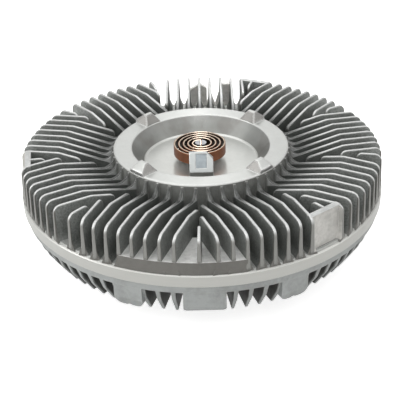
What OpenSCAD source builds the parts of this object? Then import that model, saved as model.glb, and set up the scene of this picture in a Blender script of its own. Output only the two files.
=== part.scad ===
// Viscous fan clutch: a finned housing that turns on a bearing around a driven rotor,
// with a bimetal coil in the front bowl that turns the valve over the fluid port.
// Millimetres, +Z up. The clutch lies on its drive flange with the finned cover on top.

/* [Drive flange and shaft] */
// Diameter of the drive flange
flange_d = 104; // [100:1:112]
// Thickness of the drive flange
flange_t = 9; // [7:0.5:14]
// Bolt circle of the drive flange
flange_pcd = 88; // [86:1:92]
// Diameter of each flange hole
flange_hole_d = 9; // [6:0.1:10]
// Diameter of the centring recess under the flange
pilot_d = 38; // [30:0.5:50]
// Depth of the centring recess
pilot_depth = 4; // [2:0.5:5]
// Height of the collar between flange and bearing
collar_h = 5.5; // [5:0.5:10]
// Diameter of the threaded shaft end
stud_d = 20; // [16:1:22]

/* [Bearing] */
// Bore of the bearing
bearing_id = 30; // [28:1:32]
// Outside diameter of the bearing
bearing_od = 62; // [60:1:66]
// Width of the bearing
bearing_w = 20; // [18:0.5:26]
// Number of bearing balls
ball_count = 9; // [7:1:10]
// Diameter of each ball
ball_d = 10.4; // [8:0.1:11]

/* [Chamber and rotor] */
// Height of the working chamber
chamber_h = 12; // [11:0.5:15]
// Height of the joint over the chamber's floor
joint_rise = 6.4; // [6:0.1:7]
// Radial wall between chamber and band
rim_w = 14.5; // [14:0.5:18]
// Number of lands on the rotor
land_count = 7; // [4:1:7]
// Share of the pitch that each land fills
land_share = 0.42; // [0.3:0.01:0.44]
// Distance from the separator plate to the first land
land_start = 5.4; // [4:0.1:8]
// Distance from the last land to the chamber's wall
land_end = 14.5; // [12:0.5:20]
// Thickness of the rotor's web
web_t = 3; // [2:0.1:4]
// Running gap between rotor and housing walls
rotor_gap = 1; // [0.6:0.1:1.5]

/* [Housing body] */
// Diameter of the machined band
band_d = 254; // [248:1:270]
// Height of the machined band
band_h = 8.4; // [7:0.1:9.5]
// Height of the lip under the band
lip_h = 5.5; // [3:0.1:6]
// Step from the band in to the lip
lip_step = 1.5; // [0.5:0.1:2]
// Thickness of the body's rear wall
rear_wall = 4.5; // [3.5:0.5:6]
// Wall around the bearing
sleeve_wall = 5.5; // [5:0.5:6]
// Number of rear fins, a multiple of the three lug sets
rear_fins = 81; // [72:3:90]
// Thickness of each rear fin at the joint
rear_fin_t = 3.2; // [2.4:0.1:3.6]
// Thickness of each rear fin at its foot
rear_foot_t = 1.4; // [1:0.1:2]
// Height of the rear fins below the joint face
rear_fin_h = 27.4; // [22:0.2:29]
// Inward slant of the rear fins' outer edge
rear_slant = 12.5; // [6:0.5:16]
// Radius where the rear fins start
rear_fin_r = 72; // [66:1:90]
// Height of the fan lugs below the joint face
lug_h = 18.8; // [17:0.1:22]
// Height of the screw lugs below the joint face
screw_lug_h = 20.6; // [18:0.1:22]
// Width of each fan lug
fan_lug_w = 26.5; // [20:0.5:30]
// Width of each screw lug
screw_lug_w = 19; // [16:0.5:22]
// Diameter of the tapped fan hole
fan_hole_d = 6.8; // [5:0.1:8.5]
// Bolt circle of the fan holes
fan_pcd = 238; // [236:0.5:240]

/* [Finned cover] */
// Height of the fins over the channel floor
fin_h = 24; // [20:0.5:30]
// Thickness of the wall under the channels
cover_wall = 4; // [3:0.5:6]
// Distance between parallel fins
fin_pitch = 8.65; // [8.2:0.05:8.8]
// Thickness of a fin at its top
fin_tip_t = 1.7; // [1.2:0.1:2.2]
// Thickness of a fin at the channel floor
fin_root_t = 2.9; // [2.3:0.1:3.4]
// Radius where the dish of the fin tops ends
dish_r = 99.5; // [95:0.5:104]
// Drop of the fin tops from the dish's edge to the hub
dish_drop = 10; // [6:0.5:13]
// Rounding of the fins' outer corners
fin_corner = 5; // [2:0.5:8]
// Height of the three rim ledges over the channel floor
ledge_h = 7.8; // [3:0.1:9]
// Wall of the three rim pads
pad_t = 3.9; // [2:0.1:4.5]

/* [Hub and coil] */
// Outside diameter of the hub ring
hub_d = 122.8; // [121:0.2:126]
// Inside diameter of the hub ring at its lip
lip_d = 97; // [92:0.5:100]
// Diameter of the bowl's flat floor
bowl_d = 81; // [78:0.5:91]
// Depth of the bowl below the ring
bowl_depth = 12; // [10:0.5:14]
// Height of the four ears over the ring
ear_h = 6.4; // [4:0.1:8]
// Width of each ear at its base
ear_w = 13.6; // [10:0.2:16]
// Width of each ear at its cap
ear_cap = 5; // [3:0.2:7]
// Outside diameter of the bimetal coil
coil_d = 39.8; // [36:0.1:41]
// Width of the coil's strip
strip_h = 7.5; // [5:0.5:8]
// Thickness of the coil's strip
strip_t = 1.2; // [0.8:0.1:1.4]
// Number of whole turns in the coil, before its last half turn to the post
coil_turns = 4; // [3:1:5]
// Diameter of the valve shaft
valve_d = 8; // [7:0.5:9]
// Width of the cast post that holds the coil's outer end
post_w = 16.3; // [14:0.1:18]
// Height of the post over the hub ring
post_rise = 4; // [2:0.5:6]

/* [Hidden] */
$fn = 96;

// Fits and small gaps
run_gap = 0.4;
slip = 0.05;
embed = 1;
past = 1;

// Heights, from the flange's underside up
z_collar = flange_t + collar_h;
z_bearing = z_collar + bearing_w;
shoulder_h = 3.5;
z_floor = z_bearing + shoulder_h;
z_roof = z_floor + chamber_h;
z_joint = z_floor + joint_rise;
z_band = z_joint + band_h;
z_lip = z_joint - lip_h;
z_lug = z_joint - lug_h;
z_screw_lug = z_joint - screw_lug_h;
z_rear = z_joint - rear_fin_h;
part_drop = 14.2;
z_part = z_joint - part_drop;
z_channel = z_roof + cover_wall;
z_face = z_channel + fin_h;
z_bowl = z_face - bowl_depth;
floor_t = 4.5;
z_tank = z_bowl - floor_t;
plate_t = 1.5;
z_plate = z_roof + plate_t;

// Radii, from the axis out
bore_r = bearing_id / 2;
race_r = bearing_od / 2;
ball_r = ball_d / 2;
ball_ring_r = (bore_r + race_r) / 2;
ball_z = z_collar + bearing_w / 2;
sleeve_r = race_r + sleeve_wall;
band_r = band_d / 2;
body_lip_r = band_r - lip_step;
chamber_r = band_r - rim_w;
rotor_r = chamber_r - rotor_gap;
hub_r = hub_d / 2;
lip_r = lip_d / 2;
bowl_r = bowl_d / 2;
coil_r = coil_d / 2;
valve_r = valve_d / 2;
flange_r = flange_d / 2;
stud_r = stud_d / 2;
fin_r = band_r - 1;
fin_draft = 0.8;
rise_r = 8;
rise_low = 1.6;
ledge_r = fin_r + 0.2;

// Bearing parts
race_shoulder = ball_r * 0.54;
groove_r = ball_r + 0.08;
shield_t = 1.2;
shield_in = 0.6;
shield_seat = 1.2;
cage_t = ball_r * 0.5;
cage_h = ball_d + 4;
pocket_r = ball_r + 0.25;
circlip_t = 1.5;
circlip_depth = 1.5;
z_circlip = z_collar - circlip_t;

// Rotor, its lands and what holds it
web_z = (z_floor + z_roof - web_t) / 2;
land_gap = (chamber_h - web_t) / 2 - 0.6;
rotor_hub_h = 7.5;
z_hub_top = z_bearing + rotor_hub_h;
rotor_seat_r = bore_r - 1;
seat_flat = rotor_seat_r * 0.82;
rotor_hub_w = 9;
rotor_flare = 5;
washer_t = 1.5;
nut_h = 5;
nut_r = stud_r * 1.7;
washer_r = nut_r + 1;
z_nut = z_hub_top + washer_t;
rotor_hole_r = 60;

// Fluid tank behind the bowl, its plate and the wiper
plate_r = hub_r + 1.2;
tank_r = hub_r - 6;
plate_screw_r = hub_r - 2.4;
plate_screw_d = 3;
plate_head_h = 1.6;
plate_screw_l = 7;
wiper_t = 4;
wiper_w = 9;
wiper_h = z_roof - web_z - web_t - run_gap;

// Lands of rotor and housing, spread evenly between plate and chamber wall
land_first = plate_r + land_start;
land_last = chamber_r - land_end;
land_pitch = (land_last - land_first) / (land_count - 1);
land_w = land_share * land_pitch;

// Joint between body and cover, with the screws from behind
seal_d = 2;
seal_r = chamber_r + 1.9;
screw_d = 5;
screw_head_d = 8.2;
screw_head_h = 5;
screw_bore_r = screw_head_d / 2 + 0.5;
screw_r = body_lip_r - 2.2 - screw_bore_r;
z_screw = z_lip - 3;
fan_r = fan_pcd / 2;
lug_sets = 3;
lug_turn = 270;
fin_step = 360 / rear_fins;
screw_lug_turns = [-5 * fin_step, 6 * fin_step];
lug_fins = [-5, -1, 0, 1, 6];
set_fins = rear_fins / lug_sets;
fan_bevel_h = 2;
fan_bevel_in = 1.2;
screw_bevel_h = 5.9;
screw_bevel_in = 2.2;
rear_lean = 10;
rear_part_in = 3.4;

// Fin groups: parallel fins at whole pitches, the outer ones shorter, a radial one in each corner
fin_groups = 9;
group_step = 360 / fin_groups;
fin_rows = [[-4, dish_r - 1.9], [-3, dish_r - 25.5], [-2, 0], [-1, 0], [0, 0], [1, 0], [2, 0],
    [3, dish_r - 15]];
corner_fin_r = dish_r + 9;
corner_turn = group_step / 2 - 1.2;
fin_lead = 4;
foot_w = 1.9;
foot_h = 4.6;
foot_low = fin_root_t / 2 + foot_w * (foot_h + 2 * embed) / foot_h;
fin_block_w = 2 * foot_low + 1;
pad_turns = [70, 190, 310];
ledge_turns = [30, 150, 270];
ledge_in_r = 98;
ledge_from = -24;
ledge_sweep = 36;
pad_w = 25;
pad_groups = [1, 4, 7];
pad_foot_in = 2.5;
pad_top_in = 3.7;
pad_fin_in = 4.8;
ear_cap_t = 2.6;
ear_shoulder = 2.2;
ear_span = 30;
rear_boss_t = 4;
rear_boss_peak = 4.5;
rear_boss_side = 8;
rear_boss_low = 10;

// Valve and coil
bush_r = valve_r + 2.5;
boss_r = bush_r + 4;
boss_h = 4;
bush_rise = 1;
z_bush = z_tank - boss_h;
z_bush_top = z_bowl + bush_rise;
arm_t = 1.2;
z_arm = z_plate + 0.5;
arm_reach = 43;
arm_w = 8;
port_r = 42;
port_d = 8;
port_turn = 60;
arm_stub_r = valve_r - 1;
coil_rise = 0.5;
z_coil_top = z_face + coil_rise;
z_coil = z_coil_top - strip_h;
slot_w = strip_t + 0.3;
coil_start = valve_r + 1.2;
half_turns = 2 * coil_turns + 1;
coil_step = (coil_r - strip_t - coil_start) / (half_turns - 0.5);
clip_t = 1;
clip_r = valve_r + 2;
clip_neck = valve_r - 0.9;
z_clip = z_bush_top + 0.3;
seal_section = 0.98;
seal_neck = valve_r - 1;
z_valve_seal = z_bush + 3;

// Cast post in front of the coil, and the keeper in its face
post_gap = 0.4;
post_t = 2.1;
post_foot_h = 4.2;
post_lean = 6.4;
post_bevel = 4.4;
z_post = z_face + post_rise;
post_back = coil_r + post_gap;
post_front = post_back + post_t + post_lean;
post_slope = atan2(post_lean, z_post - z_bowl - post_foot_h);
post_face = sqrt(pow(post_lean, 2) + pow(z_post - z_bowl - post_foot_h, 2));
keeper_w = 7.4;
keeper_t = 1.2;
keeper_low = 3;
keeper_high = 1;

cast = [0.66, 0.67, 0.66];
machined = [0.82, 0.82, 0.80];
steel = [0.55, 0.56, 0.58];
dark_steel = [0.35, 0.36, 0.38];
copper = [0.60, 0.33, 0.22];
rubber = [0.10, 0.10, 0.10];
brass = [0.72, 0.60, 0.30];

// Distance along a fin that stands off the axis, where it meets a radius
function along(r, off) = sqrt(r * r - off * off);

// Height of the fin tops at a distance along a fin: the dish rises from the hub to its edge
function dish_z(u, off) =
    let (a = along(hub_r, off), b = along(dish_r, off))
    min(z_face, z_face - dish_drop * (b - u) / (b - a));

module ring(r_out, r_in, h) {
    difference() {
        cylinder(r = r_out, h = h);
        translate([0, 0, -past]) cylinder(r = r_in, h = h + 2 * past);
    }
}

module turned(angles) {
    for (a = angles) rotate(a) children();
}

module around(n) {
    for (i = [0:n - 1]) rotate(i * 360 / n) children();
}

// Slab seen from outside, its two lower corners rounded: width, height, corner radius
module lug_face(w, h, r) {
    translate([-w / 2, r]) square([w, h - r]);
    translate([-w / 2 + r, 0]) square([w - 2 * r, h]);
    for (s = [-1, 1]) translate([s * (w / 2 - r), r]) circle(r);
}

// Screw with a round socket head, its head's seat at z = 0 and its shank up
module cap_screw(d, head_d, head_h, length) {
    key_r = d * 0.45;
    difference() {
        union() {
            translate([0, 0, -head_h]) cylinder(d = head_d, h = head_h);
            cylinder(d = d, h = length);
        }
        translate([0, 0, -head_h - past]) cylinder(r = key_r, h = head_h * 0.6 + past, $fn = 6);
    }
}

module input_shaft() {
    color(steel)
    difference() {
        union() {
            rotate_extrude()
            polygon([[0, pilot_depth], [pilot_d / 2, pilot_depth], [pilot_d / 2, 0], [flange_r - 1, 0],
                [flange_r, 1], [flange_r, flange_t - 1], [flange_r - 1, flange_t], [bore_r + 4, flange_t],
                [bore_r + 4, z_collar], [bore_r, z_collar], [bore_r, z_bearing], [0, z_bearing]]);
            translate([0, 0, z_bearing - embed])
            intersection() {
                cylinder(r = rotor_seat_r, h = rotor_hub_h - 0.5 + embed);
                translate([-rotor_seat_r, -seat_flat, 0])
                cube([2 * rotor_seat_r, 2 * seat_flat, rotor_hub_h - 0.5 + embed]);
            }
            translate([0, 0, z_bearing]) cylinder(r = stud_r, h = z_nut + nut_h - z_bearing - 1);
            translate([0, 0, z_nut + nut_h - 1 - slip]) cylinder(r1 = stud_r, r2 = stud_r - 1, h = 1);
        }
        around(4) rotate(45) translate([flange_pcd / 2, 0, -past])
            cylinder(d = flange_hole_d, h = flange_t + 2 * past);
    }
}

module bearing_inner() {
    color(steel)
    difference() {
        translate([0, 0, z_collar]) ring(ball_ring_r - race_shoulder, bore_r, bearing_w);
        ball_groove();
    }
}

module bearing_outer() {
    color(steel)
    difference() {
        translate([0, 0, z_collar]) ring(race_r, ball_ring_r + race_shoulder, bearing_w);
        ball_groove();
        for (z = [z_collar - past, z_collar + bearing_w - shield_in - shield_t])
            translate([0, 0, z])
            cylinder(r = ball_ring_r + race_shoulder + shield_seat, h = shield_in + shield_t + past);
    }
}

module ball_groove() {
    translate([0, 0, ball_z]) rotate_extrude() translate([ball_ring_r, 0]) circle(groove_r);
}

module bearing_balls() {
    color(machined)
    around(ball_count) translate([ball_ring_r, 0, ball_z]) sphere(ball_r);
}

module bearing_cage() {
    color(brass)
    difference() {
        translate([0, 0, ball_z - cage_h / 2])
            ring(ball_ring_r + cage_t / 2, ball_ring_r - cage_t / 2, cage_h);
        around(ball_count) translate([ball_ring_r - cage_t, 0, ball_z]) rotate([0, 90, 0])
            cylinder(r = pocket_r, h = 2 * cage_t);
    }
}

module bearing_shields() {
    shield_r = ball_ring_r + race_shoulder + shield_seat;
    color(dark_steel)
    for (z = [z_collar + shield_in, z_collar + bearing_w - shield_in - shield_t])
        translate([0, 0, z]) ring(shield_r, ball_ring_r - race_shoulder + run_gap, shield_t);
}

module bearing_circlip() {
    color(dark_steel)
    difference() {
        translate([0, 0, z_circlip]) ring(race_r + circlip_depth - slip, race_r - 3, circlip_t);
        translate([0, -3, z_circlip - past]) cube([race_r + 5, 6, circlip_t + 2 * past]);
    }
}

// Ring profile of the lands on one side, as squares on the wall at height z; turned down where h < 0
module land_rings(first, count, z, h) {
    for (i = [0:count - 1])
        translate([first + i * land_pitch - land_w / 2, min(z - sign(h) * embed, z + h)])
        square([land_w, abs(h) + embed]);
}

module rotor() {
    hub_wall_r = rotor_seat_r + rotor_hub_w;
    color(cast)
    difference() {
        union() {
            rotate_extrude() {
                polygon([[0, z_bearing], [hub_wall_r, z_bearing], [hub_wall_r + rotor_flare, web_z],
                    [rotor_r, web_z], [rotor_r, web_z + web_t], [hub_wall_r + rotor_flare, web_z + web_t],
                    [hub_wall_r, z_hub_top], [0, z_hub_top]]);
                land_rings(land_first, land_count, web_z + web_t, land_gap);
                land_rings(land_first, land_count, web_z, -land_gap);
            }
        }
        intersection() {
            translate([0, 0, z_bearing - past]) cylinder(r = rotor_seat_r + slip, h = rotor_hub_h + 2 * past);
            translate([-rotor_seat_r - past, -seat_flat - slip, z_bearing - past])
                cube([2 * rotor_seat_r + 2 * past, 2 * (seat_flat + slip), rotor_hub_h + 2 * past]);
        }
        around(4) translate([rotor_hole_r, 0, web_z - past]) cylinder(d = 8, h = web_t + 2 * past);
    }
}

module rotor_washer() {
    color(dark_steel) translate([0, 0, z_hub_top]) ring(washer_r, stud_r + slip, washer_t);
}

module rotor_nut() {
    color(steel)
    translate([0, 0, z_nut])
    difference() {
        intersection() {
            cylinder(r = nut_r, h = nut_h, $fn = 6);
            cylinder(r1 = nut_r + nut_h - 1, r2 = nut_r - 1, h = nut_h);
        }
        translate([0, 0, -past]) cylinder(r = stud_r + slip, h = nut_h + 2 * past);
    }
}

module finned_body() {
    color(cast)
    difference() {
        union() {
            body_shell();
            around(lug_sets) rotate(lug_turn) {
                turned([for (i = [7 - set_fins:6]) if (search(i, lug_fins) == []) i * fin_step])
                    rear_fin(z_rear);
                turned([for (i = lug_fins) i * fin_step]) rear_fin(z_lug + embed);
                body_lug(fan_lug_w, 2.5, z_lug, fan_bevel_h, fan_bevel_in);
                turned(screw_lug_turns) body_lug(screw_lug_w, 5, z_screw_lug, screw_bevel_h, screw_bevel_in);
            }
        }
        translate([0, 0, z_joint - seal_d + 0.2]) ring(seal_r + seal_d / 2, seal_r - seal_d / 2, seal_d);
        translate([0, 0, z_circlip - 0.1])
            ring(race_r + circlip_depth, race_r - 1, circlip_t + 0.2);
        around(lug_sets) rotate(lug_turn) {
            translate([fan_r, 0, z_lug - past]) cylinder(d = fan_hole_d, h = lug_h - 6 + past);
            turned(screw_lug_turns) translate([screw_r, 0, z_screw_lug - past]) {
                cylinder(r = screw_bore_r, h = z_screw - z_screw_lug + past);
                cylinder(d = screw_d + 0.5, h = screw_lug_h + 2 * past);
            }
        }
    }
}

// Turned part of the body: bearing sleeve, rear wall with its lands, and the rim under the cover
module body_shell() {
    sleeve_z = flange_t + 1.4;
    rotate_extrude() {
        polygon([[race_r, sleeve_z], [sleeve_r - 1, sleeve_z], [sleeve_r, sleeve_z + 1],
            [sleeve_r, z_floor - rear_wall - 4], [sleeve_r + 6, z_floor - rear_wall],
            [chamber_r + 2, z_floor - rear_wall], [chamber_r + 5, z_lip], [body_lip_r - 0.6, z_lip],
            [body_lip_r, z_lip + 0.6], [body_lip_r, z_joint], [chamber_r, z_joint], [chamber_r, z_floor],
            [race_r - 3.5, z_floor], [race_r - 3.5, z_bearing], [race_r, z_bearing]]);
        land_rings(land_first + land_pitch / 2, land_count - 1, z_floor, land_gap);
    }
}

// Radial fin on the rear wall: outer edge with draft to the parting line, then slanted in to the foot, the
// section tapered down
module rear_fin(foot_z) {
    outer_r = body_lip_r - 0.6;
    part_r = outer_r - rear_part_in;
    slant = (part_r - body_lip_r + rear_slant) / (z_part - z_rear);
    top_z = z_floor - 1;
    intersection() {
        translate([0, rear_fin_t, 0]) rotate([90, 0, 0]) linear_extrude(2 * rear_fin_t)
            polygon([[rear_fin_r, top_z], [rear_fin_r + rear_lean, foot_z],
                [part_r - slant * (z_part - foot_z), foot_z], [part_r, z_part], [outer_r, z_lip + embed],
                [chamber_r + 1, z_lip + embed], [chamber_r + 1, top_z]]);
        translate([rear_fin_r - past, 0, 0]) rotate([90, 0, 90]) linear_extrude(band_r)
            polygon([[-rear_foot_t / 2, z_rear - past], [rear_foot_t / 2, z_rear - past],
                [rear_fin_t / 2, z_joint], [-rear_fin_t / 2, z_joint]]);
    }
}

// Lug under the rim, its outer face flat and bevelled below: width, corner radius, foot, height and depth
// of the bevel
module body_lug(w, corner, low, bevel_h, bevel_in) {
    from = chamber_r + 1;
    out = body_lip_r - 0.3;
    intersection() {
        translate([from, 0, low]) rotate([90, 0, 90]) linear_extrude(out - from + past)
            lug_face(w, z_lip - low + embed, corner);
        translate([0, w, 0]) rotate([90, 0, 0]) linear_extrude(2 * w)
            polygon([[from - past, low - past], [out - bevel_in * (1 + past / bevel_h), low - past],
                [out, low + bevel_h], [out, z_lip + 2 * embed], [from - past, z_lip + 2 * embed]]);
    }
}

module body_seal() {
    color(rubber)
    translate([0, 0, z_joint - seal_d / 2 + 0.1])
    rotate_extrude() translate([seal_r, 0]) circle(d = seal_d - 0.2);
}

module cover_screws() {
    color(dark_steel)
    around(lug_sets) rotate(lug_turn) turned(screw_lug_turns)
        translate([screw_r, 0, z_screw])
        cap_screw(screw_d - 0.1, screw_head_d, screw_head_h, z_band - 2 - z_screw);
}

module finned_cover() {
    color(cast)
    difference() {
        union() {
            cover_shell();
            for (i = [0:fin_groups - 1]) rotate(group_step * (i + 1 / 4))
                fin_group(search(i, pad_groups) == [] ? fin_r : fin_r - pad_fin_in);
            around(4) rotate(45) ear();
            turned(ledge_turns) ledge();
            turned(pad_turns) pad();
            rear_bosses();
            coil_post();
        }
        around(lug_sets) rotate(lug_turn) turned(screw_lug_turns)
            translate([screw_r, 0, z_joint - past]) cylinder(d = screw_d, h = band_h - 1.5 + past);
        around(6) rotate(30) translate([plate_screw_r, 0, z_roof])
            cylinder(d = plate_screw_d, h = plate_screw_l + 1);
        keeper_pocket(slip, past);
        coil_tang(slip);
    }
}

// Turned part of the cover: bowl, hub ring, channel floor, band, and the chamber with its lands inside
module cover_shell() {
    rotate_extrude() {
        polygon([[bush_r, z_bowl], [bowl_r - 1, z_bowl], [bowl_r, z_bowl + 1], [lip_r, z_face - 0.6],
            [lip_r + 0.6, z_face], [hub_r - 0.8, z_face], [hub_r, z_face - 0.8], [hub_r + 0.6, z_channel],
            [fin_r - 1, z_channel], [fin_r, z_band], [band_r - 0.6, z_band], [band_r, z_band - 0.6],
            [band_r, z_joint + 0.4], [band_r - 0.4, z_joint], [chamber_r, z_joint], [chamber_r, z_roof],
            [plate_r + slip, z_roof], [plate_r + slip, z_plate], [tank_r, z_plate], [tank_r, z_tank - 3],
            [tank_r - 3, z_tank], [boss_r, z_tank], [boss_r, z_bush], [bush_r, z_bush]]);
        land_rings(land_first + land_pitch / 2, land_count - 1, z_roof, -land_gap);
    }
}

// One group of parallel fins along +X, with the radial fin in the corner on its left, out to corner_out
module fin_group(corner_out) {
    for (row = fin_rows) cover_fin(row[0] * fin_pitch, row[1], fin_r);
    rotate(corner_turn) cover_fin(0, corner_fin_r, corner_out);
}

// Upright fin along +X, off to the side: its outline from the side, cut to a section that tapers up
module cover_fin(off, start_r, end_r) {
    translate([0, off, 0])
    intersection() {
        translate([0, fin_block_w / 2, 0]) rotate([90, 0, 0])
            linear_extrude(fin_block_w) fin_outline(off, start_r, end_r);
        translate([hub_r / 2, 0, 0]) rotate([90, 0, 90]) linear_extrude(band_r) fin_section();
    }
}

// Section of a fin: flared foot that starts below the channel floor, then a slow taper past the top
module fin_section() {
    root = fin_root_t / 2;
    tip = fin_tip_t / 2;
    polygon([[-foot_low, z_channel - 2 * embed], [foot_low, z_channel - 2 * embed],
        [root, z_channel + foot_h], [tip, z_face + past], [-tip, z_face + past],
        [-root, z_channel + foot_h]]);
}

// Fin from the side: the dish, the flat top, the rounded outer corner with draft below it, and a round lead
// where it starts clear of the hub
module fin_outline(off, start_r, end_r) {
    out_u = along(end_r, off);
    top_u = out_u - fin_draft;
    edge_u = along(dish_r, off);
    from_hub = start_r == 0;
    lead = from_hub ? 0 : fin_lead;
    start_u = from_hub ? along(hub_r, off) - 3 : along(start_r, off);
    lead_u = start_u + lead;
    lead_z = dish_z(lead_u, off);
    dish_edge = lead_u < edge_u ? [[edge_u, z_face]] : [];
    polygon(concat([[start_u, z_channel - embed], [start_u, lead_z - lead], [lead_u, lead_z]], dish_edge,
        [[top_u - fin_corner, z_face], [top_u, z_face - fin_corner], [out_u, z_channel - embed]]));
    translate([top_u - fin_corner, z_face - fin_corner]) circle(fin_corner);
    if (from_hub) hub_rise(off);
    else translate([lead_u, lead_z - lead]) circle(lead);
}

// Round rise of a fin's top to the hub ring: a corner block with an arc cut out that runs into the dish
module hub_rise(off) {
    hub_u = along(hub_r, off);
    slope = dish_drop / (along(dish_r, off) - hub_u);
    centre_u = hub_u + rise_r + 0.6;
    centre_z = dish_z(centre_u, off) + rise_r * sqrt(1 + slope * slope) - 0.2;
    difference() {
        polygon([[hub_u - 2, z_face - dish_drop - 1], [hub_u - 2, z_face - rise_low],
            [centre_u, z_face - rise_low], [centre_u, dish_z(centre_u, off) - 1]]);
        translate([centre_u, centre_z]) circle(rise_r);
    }
}

// Ear on the hub ring: its inner face goes on from the bowl's wall, its outer face slopes down to a shoulder,
// its sides taper to the cap
module ear() {
    in_r = lip_r + 0.3;
    out_r = hub_r - 0.3;
    cap_r = in_r + ear_h * (lip_r - bowl_r) / bowl_depth;
    intersection() {
        rotate(-ear_span / 2) rotate_extrude(angle = ear_span)
            polygon([[in_r, z_face - embed], [in_r, z_face], [cap_r, z_face + ear_h],
                [cap_r + ear_cap_t, z_face + ear_h], [out_r, z_face + ear_shoulder],
                [out_r, z_face - embed]]);
        rotate([90, 0, 90]) linear_extrude(hub_r + past)
            polygon([[-ear_w / 2, z_face - 2 * embed], [ear_w / 2, z_face - 2 * embed], [ear_w / 2, z_face],
                [ear_cap / 2, z_face + ear_h + past], [-ear_cap / 2, z_face + ear_h + past],
                [-ear_w / 2, z_face]]);
    }
}

// Raised floor at the rim, that fills the channels of one corner
module ledge() {
    rotate(ledge_from)
    rotate_extrude(angle = ledge_sweep)
    translate([ledge_in_r, z_channel - embed]) square([ledge_r - ledge_in_r, ledge_h + embed]);
}

// Flat wall at the rim across one corner
module pad() {
    rotate(-2)
    translate([0, pad_w / 2, 0])
    rotate([90, 0, 0])
    linear_extrude(pad_w)
    polygon([[fin_r - pad_foot_in - pad_t, z_channel - embed], [fin_r - pad_foot_in, z_channel - embed],
        [fin_r - pad_top_in, z_face], [fin_r - pad_top_in - pad_t, z_face]]);
}

// Two cast bosses between the fins of the group behind the bowl, with a notched web between them
module rear_bosses() {
    boss_out = along(fin_r, 3 * fin_pitch) - 1;
    low = z_channel - embed;
    translate([0, boss_out, 0]) rotate([90, 0, 0]) linear_extrude(rear_boss_t) {
        polygon([[-fin_pitch, low], [0.7 * fin_pitch, low], [0.7 * fin_pitch, z_face - rear_boss_side],
            [0, z_face - rear_boss_peak], [-fin_pitch, z_face - rear_boss_low]]);
        polygon([[fin_pitch, low], [fin_pitch, z_face - rear_boss_low], [1.48 * fin_pitch, low + 2 * embed],
            [2 * fin_pitch, z_face - rear_boss_side], [2 * fin_pitch, z_face - rear_boss_peak - 0.5],
            [3 * fin_pitch, z_face - rear_boss_peak - 0.5], [3 * fin_pitch, low]]);
    }
}

module separator_plate() {
    color(steel)
    difference() {
        translate([0, 0, z_roof]) cylinder(r = plate_r, h = plate_t);
        rotate(port_turn) translate([port_r, 0, z_roof - past]) cylinder(d = port_d, h = plate_t + 2 * past);
        around(6) rotate(30) translate([plate_screw_r, 0, z_roof - past])
            cylinder(d = plate_screw_d + 0.3, h = plate_t + 2 * past);
    }
}

module plate_screws() {
    color(dark_steel)
    around(6) rotate(30) translate([plate_screw_r, 0, z_roof])
        cap_screw(plate_screw_d - 0.1, plate_screw_d * 1.8, plate_head_h, plate_screw_l);
}

module pump_wiper() {
    color(brass)
    rotate(port_turn + 30)
    translate([chamber_r - 1 - wiper_t, -wiper_w / 2, z_roof - wiper_h]) cube([wiper_t, wiper_w, wiper_h]);
}

module valve_bush() {
    color(brass)
    translate([0, 0, z_bush]) ring(bush_r, valve_r + slip, z_bush_top - z_bush);
}

module valve_shaft() {
    color(steel)
    difference() {
        union() {
            translate([0, 0, z_arm + arm_t]) cylinder(r = valve_r, h = z_coil_top + 0.3 - z_arm - arm_t);
            translate([0, 0, z_arm]) cylinder(r = arm_stub_r, h = arm_t + embed);
        }
        translate([0, 0, z_valve_seal - seal_section / 2 - 0.1])
            ring(valve_r + past, seal_neck, seal_section + 0.2);
        translate([0, 0, z_clip - 0.05]) ring(valve_r + past, clip_neck, clip_t + 0.1);
        translate([-slot_w / 2, -valve_d, z_coil - 0.2]) cube([slot_w, 2 * valve_d, strip_h + 2]);
    }
}

module valve_seal() {
    color(rubber)
    translate([0, 0, z_valve_seal])
    rotate_extrude() translate([(valve_r + seal_neck) / 2, 0]) circle(d = seal_section);
}

module valve_clip() {
    color(dark_steel)
    translate([0, 0, z_clip])
    difference() {
        ring(clip_r, clip_neck + slip, clip_t);
        translate([0, -clip_neck * 0.8, -past]) cube([clip_r + past, 1.6 * clip_neck, clip_t + 2 * past]);
    }
}

module valve_arm() {
    color(steel)
    translate([0, 0, z_arm])
    rotate(port_turn)
    difference() {
        linear_extrude(arm_t) {
            circle(valve_r + 4);
            translate([0, -arm_w / 2]) square([arm_reach, arm_w]);
            translate([arm_reach, 0]) circle(port_d / 2 + 2);
        }
        translate([0, 0, -past]) cylinder(r = arm_stub_r, h = arm_t + 2 * past);
    }
}

// Spiral of half rings whose centres swap sides, so that each half turn meets the next; its inner end
// crosses the slot in the valve shaft and its outer end is bent out into the post
module bimetal_coil() {
    color(copper) {
        translate([0, 0, z_coil])
        linear_extrude(strip_h)
        rotate(90) {
            for (i = [0:half_turns - 1])
                translate([(i % 2 - 0.5) * coil_step, 0])
                half_ring(coil_start + i * coil_step, i % 2 * 180);
            translate([-valve_r, -strip_t / 2]) square([coil_start + valve_r + strip_t / 2, strip_t]);
        }
        coil_tang(0);
    }
}

// Upper half of a ring of the strip's thickness
module half_ring(r, turn) {
    rotate(turn)
    difference() {
        circle(r + strip_t);
        circle(r);
        translate([-2 * coil_r, -4 * coil_r]) square([4 * coil_r, 4 * coil_r]);
    }
}

// Outer end of the strip, from the last turn to the keeper; a gap makes it the slot that takes it
module coil_tang(gap) {
    from = coil_r - strip_t;
    translate([-strip_t / 2 - gap, -post_back - post_t / 2, z_coil - gap])
    cube([strip_t + 2 * gap, post_back + post_t / 2 - from, strip_h + 2 * gap]);
}

// Frame of the post's leaning face: X across, Y up the face, Z out of it
module on_post() {
    translate([0, -post_front, z_bowl + post_foot_h]) rotate([90 - post_slope, 0, 0]) children();
}

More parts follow.
